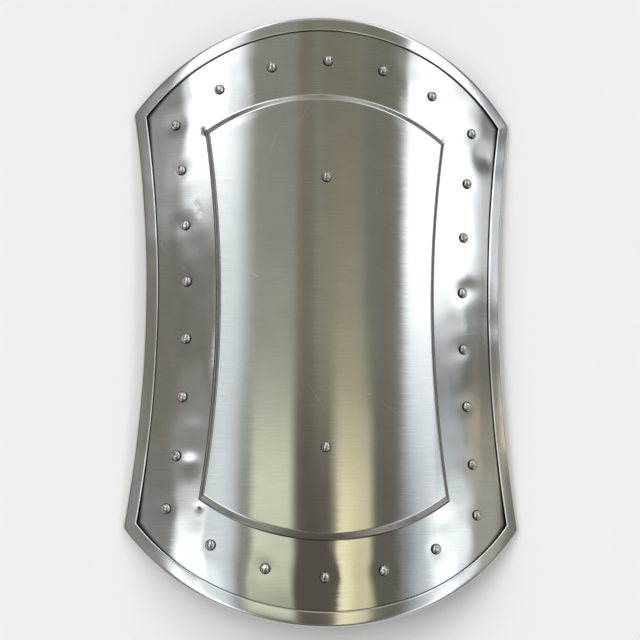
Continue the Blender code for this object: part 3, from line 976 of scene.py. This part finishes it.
def forged_steel():
    """Forged bar left dark from the fire: dull and mottled with scale, brighter where hands rubbed it."""
    material, tree, shader, place = metal("rubbed_forge_scale_steel")
    edge = add_node(tree, "ShaderNodeAttribute", attribute_name="edge").outputs["Fac"]
    scale = add_node(
        tree, "ShaderNodeTexNoise", {"Vector": place, "Scale": 1 / (6 * MM), "Detail": 5.0, "Roughness": 0.65}
    ).outputs["Fac"]
    patches = add_node(
        tree, "ShaderNodeMapRange", {"Value": scale, "From Min": 0.35, "From Max": 0.65}
    ).outputs[0]
    worn = add_node(tree, "ShaderNodeMath", {0: edge, 1: patches}, operation="MULTIPLY").outputs[0]
    lay_coats(tree, shader, linear("#45413b"), [(patches, "#7d776d"), (worn, "#b4afa6")])
    rough = add_node(
        tree, "ShaderNodeMapRange", {"Value": patches, "To Min": 0.52, "To Max": 0.34}
    ).outputs[0]
    tree.links.new(rough, shader.inputs["Roughness"])
    relief = add_node(tree, "ShaderNodeBump", {"Height": scale, "Distance": 0.05 * MM, "Strength": 1.0})
    tree.links.new(relief.outputs[0], shader.inputs["Normal"])
    return material


grip = build_grip()
grip.data.materials.append(forged_steel())
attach(grip, "root")
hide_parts("hand_grip")

# The buckler lies face up on a plain pale floor in soft studio light. What its steel mirrors is a grey
# room: two tall soft lights over its upper half, two warm lamps low in front with a wide light on
# either side of them, and two windows behind the camera.

FLOOR_SIZE = 12.0


def build_floor():
    """The floor under the rim's four corners."""
    mesh = bpy.data.meshes.new("floor")
    half = FLOOR_SIZE / 2
    corners = [(-half, -half, 0), (half, -half, 0), (half, half, 0), (-half, half, 0)]
    mesh.from_pydata(corners, [], [(0, 1, 2, 3)])
    floor = bpy.data.objects.new("floor", mesh)
    bpy.context.scene.collection.objects.link(floor)
    paper = bpy.data.materials.new("matt_white_paper")
    paper.use_nodes = True
    shader = paper.node_tree.nodes["Principled BSDF"]
    shader.inputs["Base Color"].default_value = linear("#e9e6e6")
    shader.inputs["Roughness"].default_value = 0.9
    shader.inputs["Specular IOR Level"].default_value = 0.1
    mesh.materials.append(paper)
    return floor


# Each soft light or dark wall of the room: where it starts and ends across and along, in degrees from
# straight up, each edge with how soft it is, and its colour and strength. Across grows to the right and
# along to the top. A later one lies over the earlier ones. NEAR and FAR are the room's own ends.
NEAR = (-90, 9)
FAR = (90, 9)
ROOM_PARTS = [
    # The ceiling, darker towards the right, and the walls beyond it
    ((3, 2), (17, 2), NEAR, FAR, "#918f80", 1.0),
    ((17, 2), (29, 2), NEAR, FAR, "#8c8b81", 1.0),
    (NEAR, (-44, 2), NEAR, FAR, "#8e8b83", 1.0),
    (NEAR, (-54, 1.5), NEAR, FAR, "#8b8c7e", 1.0),
    ((57, 2), FAR, NEAR, FAR, "#8e9294", 1.0),
    ((-55, 2), (-42, 2), (14.5, 1), (18.4, 0.6), "#bfc4c7", 1.0),
    ((-61, 2), (-55.5, 1), (16.8, 0.6), (19.5, 0.6), "#a6a9a8", 1.0),
    ((-61, 2), (-52.8, 0.8), (3.4, 0.8), (7.4, 0.6), "#a3a59b", 1.0),
    # The far end of the room, paler on both sides of a beam
    ((-20, 2), (-4, 2), NEAR, (14, 5), "#b0b4a8", 1.0),
    ((-4, 2), (2, 2), NEAR, FAR, "#8f8c7c", 1.0),
    ((2, 2), (17, 2), NEAR, (14, 5), "#b0ad9a", 1.0),
    # Under the two tall lights: a pale strip inside, dark wall outside, with pale patches on the right
    ((-44, 2), (-30.5, 0.6), NEAR, (15, 1), "#827f76", 1.0),
    ((-42, 2), (-34, 1.5), (6.3, 0.6), (8.2, 0.6), "#a0a39f", 1.0),
    ((-30.5, 0.6), (-25, 4.5), NEAR, (15, 1), "#dfe9f2", 1.4),
    ((-30.5, 0.6), (-20.5, 4), (7, 3), (15, 1), "#dfe9f2", 1.4),
    ((-32, 0.5), (-25, 4.5), NEAR, (7.2, 0.5), "#dfe9f2", 1.3),
    ((-34, 0.5), (-25, 4.5), NEAR, (5, 0.5), "#dfe9f2", 1.3),
    ((28.5, 2.5), (41.5, 1), NEAR, (13, 2), "#dfe9f2", 0.45),
    ((34, 4), (41.5, 1), NEAR, (13, 2), "#dfe9f2", 1.1),
    ((31, 2.5), (41.5, 1), (6, 3), (14, 1), "#dfe9f2", 1.75),
    ((41.5, 1), (70, 3), NEAR, (10.5, 1), "#7a7974", 1.0),
    ((41.5, 1), (47, 2), NEAR, (9.7, 0.6), "#82878a", 1.0),
    ((47, 2), (56, 2), NEAR, (9.7, 0.6), "#5a5e5c", 1.0),
    ((41.5, 1), (53, 2), NEAR, (6.7, 0.4), "#c3ced6", 1.05),
    ((53, 2), (59, 2), NEAR, (7.5, 1), "#cdc4b0", 1.1),
    ((59, 2), (65, 3), NEAR, (7, 1), "#aeaa9b", 1.0),
    ((55, 2), (64, 3), NEAR, (5, 1), "#c4c3ba", 1.0),
    ((64, 1), (76, 2), (5.4, 0.4), (7.7, 0.4), "#efe3c4", 1.5),
    ((61.5, 1), (76, 2), (11.0, 0.5), (15.5, 0.7), "#dfe4ec", 2.8),
    ((61, 1.5), FAR, (15.9, 0.6), (19.5, 0.5), "#7e8385", 1.0),
    # The warm lamps low in front, with dark gaps between them
    ((-18, 1.5), (-5, 2), NEAR, (6, 2), "#f4fbe0", 1.4),
    ((-18, 1.5), (-5, 2), NEAR, (2, 2), "#f4fbe0", 1.0),
    ((-5, 2), (7.5, 2), NEAR, (6.5, 2.5), "#746e65", 0.8),
    ((7.5, 2), (20, 2), NEAR, (5.6, 2), "#f5f2cb", 1.3),
    ((8.5, 2), (20, 2), NEAR, (2, 1), "#f5f2cb", 1.0),
    ((5.5, 1), (8.8, 1), NEAR, (3, 1), "#746e65", 0.8),
    ((9, 1.2), (13.5, 3), NEAR, (4, 1.5), "#f5f2cb", 1.5),
    ((20, 2), (28.5, 2), NEAR, (6.5, 2.5), "#76746e", 0.95),
    # The two tall lights over the upper half, and a pale one beyond the right one
    ((55, 3), (74, 3), (11.8, 1), (17, 1), "#cfd6dc", 1.45),
    ((-49, 3), (-41, 2), (14.8, 0.8), (17.8, 0.6), "#dfe4ea", 1.0),
    ((-43, 1.5), (-22.5, 4), (15.7, 0.7), (89, 3), "#e6eef6", 2.8),
    ((-40.5, 1.2), (-32.5, 1.5), (15.2, 0.3), (16.5, 0.5), "#e6eef6", 2.6),
    ((-47, 2), (-32, 1), (13.0, 0.5), (15.0, 0.3), "#6e7068", 1.0),
    ((31.5, 2.5), (53, 1.5), (10.3, 0.5), (13, 1), "#e6eef6", 2.4),
    ((31.5, 2.5), (58, 4), (12.0, 0.5), (89, 3), "#e6eef6", 2.8),
    # Their edges draw in higher up, beside a paler ceiling, and at the far end they stand further out
    ((-60, 9), (-40.5, 1.2), (19.4, 0.5), (40, 9), "#858279", 1.0),
    ((-28.5, 2), (-19, 1.5), (17.9, 0.5), (20.3, 0.5), "#dfe6ea", 1.2),
    ((20, 3), (33.5, 1.5), (18.3, 0.6), (23, 1), "#8a897e", 1.0),
    ((20, 3), (43.5, 1.5), (20.9, 0.4), (24, 1), "#8a897e", 1.0),
    ((50, 8), FAR, (19.2, 0.4), (66, 6), "#74777a", 1.0),
    ((-22, 5), (24, 5), (28, 4), (62, 8), "#ced0cc", 1.0),
    ((-43, 1.5), (-19, 3), (24, 2), (89, 3), "#e6eef6", 2.8),
    ((32, 3), (52, 4), (24, 2), (89, 3), "#e6eef6", 2.8),
    (NEAR, FAR, (64, 6), FAR, "#b6b1a9", 1.0),
    (NEAR, (-38, 8), (66, 6), FAR, "#e6eef6", 2.2),
    ((42, 8), FAR, (66, 6), FAR, "#dfe3e6", 1.6),
    # The two wide lights low on either side
    ((-62, 3), (-43.5, 2), NEAR, (3, 3), "#a9acb0", 1.0),
    ((-43.5, 2), (-33, 1.5), NEAR, (3, 1.5), "#e6eef6", 2.8),
    ((40, 3), (54, 2), NEAR, (3, 2), "#e6eef6", 2.4),
    ((-18, 1.5), (-5, 2), NEAR, (-0.4, 0.4), "#f4fbe0", 0.34),
    ((-43.5, 2), (-27.5, 2), NEAR, (-0.3, 0.4), "#e6eef6", 2.4),
    ((49, 2.5), (60, 3), NEAR, (0.5, 0.5), "#a6acb4", 1.0),
    # Grey below them in front, dark near the floor, the windows, and dim at both sides
    (NEAR, FAR, NEAR, (-31, 6), "#84837e", 1.0),
    (NEAR, FAR, NEAR, (-66, 6), "#4d4a43", 1.0),
    ((-74, 5), (-46, 6), (-72, 8), (-38, 4), "#cfd2d0", 1.1),
    ((48, 6), (76, 5), (-72, 8), (-38, 4), "#d6d2c8", 1.1),
    (NEAR, (-76, 6), NEAR, FAR, "#55524e", 1.0),
    ((78, 4), FAR, NEAR, FAR, "#55524e", 1.0),
]
ROOM_GREY = "#9fa29a"
BACKDROP = "#f0f0ef"


def build_room():
    """The world that lights the buckler and that its steel mirrors."""
    world = bpy.data.worlds.new("studio")
    bpy.context.scene.world = world
    world.use_nodes = True
    tree = world.node_tree
    tree.nodes.clear()
    direction = add_node(tree, "ShaderNodeTexCoord").outputs["Generated"]
    parts = add_node(tree, "ShaderNodeSeparateXYZ", {0: direction})
    turn = add_node(
        tree, "ShaderNodeMath", {0: parts.outputs["X"], 1: parts.outputs["Z"]}, operation="ARCTAN2"
    )
    across = add_node(tree, "ShaderNodeMath", {0: turn.outputs[0]}, operation="DEGREES").outputs[0]
    rise = add_node(tree, "ShaderNodeMath", {0: parts.outputs["Y"]}, operation="ARCSINE")
    along = add_node(tree, "ShaderNodeMath", {0: rise.outputs[0]}, operation="DEGREES").outputs[0]
    seen = linear(ROOM_GREY)
    for left, right, low, high, colour, strength in ROOM_PARTS:
        share = 1.0
        for angle, edges in ((across, (left, right)), (along, (low, high))):
            for (edge, soft), (start, end) in zip(edges, ((0.0, 1.0), (1.0, 0.0))):
                ends = {"From Min": edge - soft, "From Max": edge + soft, "To Min": start, "To Max": end}
                ramp = add_node(
                    tree, "ShaderNodeMapRange", {"Value": angle, **ends}, interpolation_type="SMOOTHSTEP"
                )
                share = add_node(
                    tree, "ShaderNodeMath", {0: share, 1: ramp.outputs[0]}, operation="MULTIPLY"
                ).outputs[0]
        glow = [channel * strength for channel in linear(colour)[:3]] + [1.0]
        seen = add_node(
            tree, "ShaderNodeMix", {"Factor": share, 6: seen, 7: glow}, data_type="RGBA"
        ).outputs[2]
    room = add_node(tree, "ShaderNodeBackground", {"Color": seen, "Strength": 1.0})
    backdrop = add_node(tree, "ShaderNodeBackground", {"Color": linear(BACKDROP), "Strength": 1.0})
    path = add_node(tree, "ShaderNodeLightPath")
    views = {0: path.outputs["Is Camera Ray"], 1: room.outputs[0], 2: backdrop.outputs[0]}
    shown = add_node(tree, "ShaderNodeMixShader", views)
    add_node(tree, "ShaderNodeOutputWorld", {"Surface": shown.outputs[0]})


def build_lamp(name, direction, strength, spread):
    """A broad soft lamp far off in a direction, which the steel doesn't mirror."""
    lamp = bpy.data.lights.new(name, "SUN")
    lamp.energy = strength
    lamp.angle = math.radians(spread)
    holder = bpy.data.objects.new(name, lamp)
    holder.rotation_euler = Vector(direction).to_track_quat("Z", "Y").to_euler()
    holder.visible_glossy = False
    bpy.context.scene.collection.objects.link(holder)


build_floor()
build_room()
build_lamp("key_light", (-1.0, 0.35, 1.0), 1.15, 50)
build_lamp("fill_light", (0.1, 0.1, 1.0), 0.45, 100)
bpy.context.scene.view_settings.view_transform = "Standard"

# The camera stands over the lower left of the buckler and looks a little up and right across it.

CAMERA_PLACE = Vector((-0.10876, -0.19565, 1.05793))
CAMERA_AIM = Vector((-0.00632, -0.00709, 0.04012))
CAMERA_ROLL = math.radians(0.11)
LENS = 80.72
SENSOR = 36.0


def place_camera():
    """The camera, upright along the buckler."""
    lens = bpy.data.cameras.new("camera")
    lens.lens = LENS
    lens.sensor_width = SENSOR
    lens.clip_start = 0.05
    lens.clip_end = 50
    camera = bpy.data.objects.new("camera", lens)
    look = (CAMERA_AIM - CAMERA_PLACE).normalized()
    right = look.cross(Vector((0, 1, 0))).normalized()
    up = right.cross(look)
    turned = Matrix((right, up, -look)).transposed() @ Matrix.Rotation(CAMERA_ROLL, 3, "Z")
    camera.matrix_world = Matrix.Translation(CAMERA_PLACE) @ turned.to_4x4()
    bpy.context.scene.collection.objects.link(camera)
    bpy.context.scene.camera = camera


place_camera()
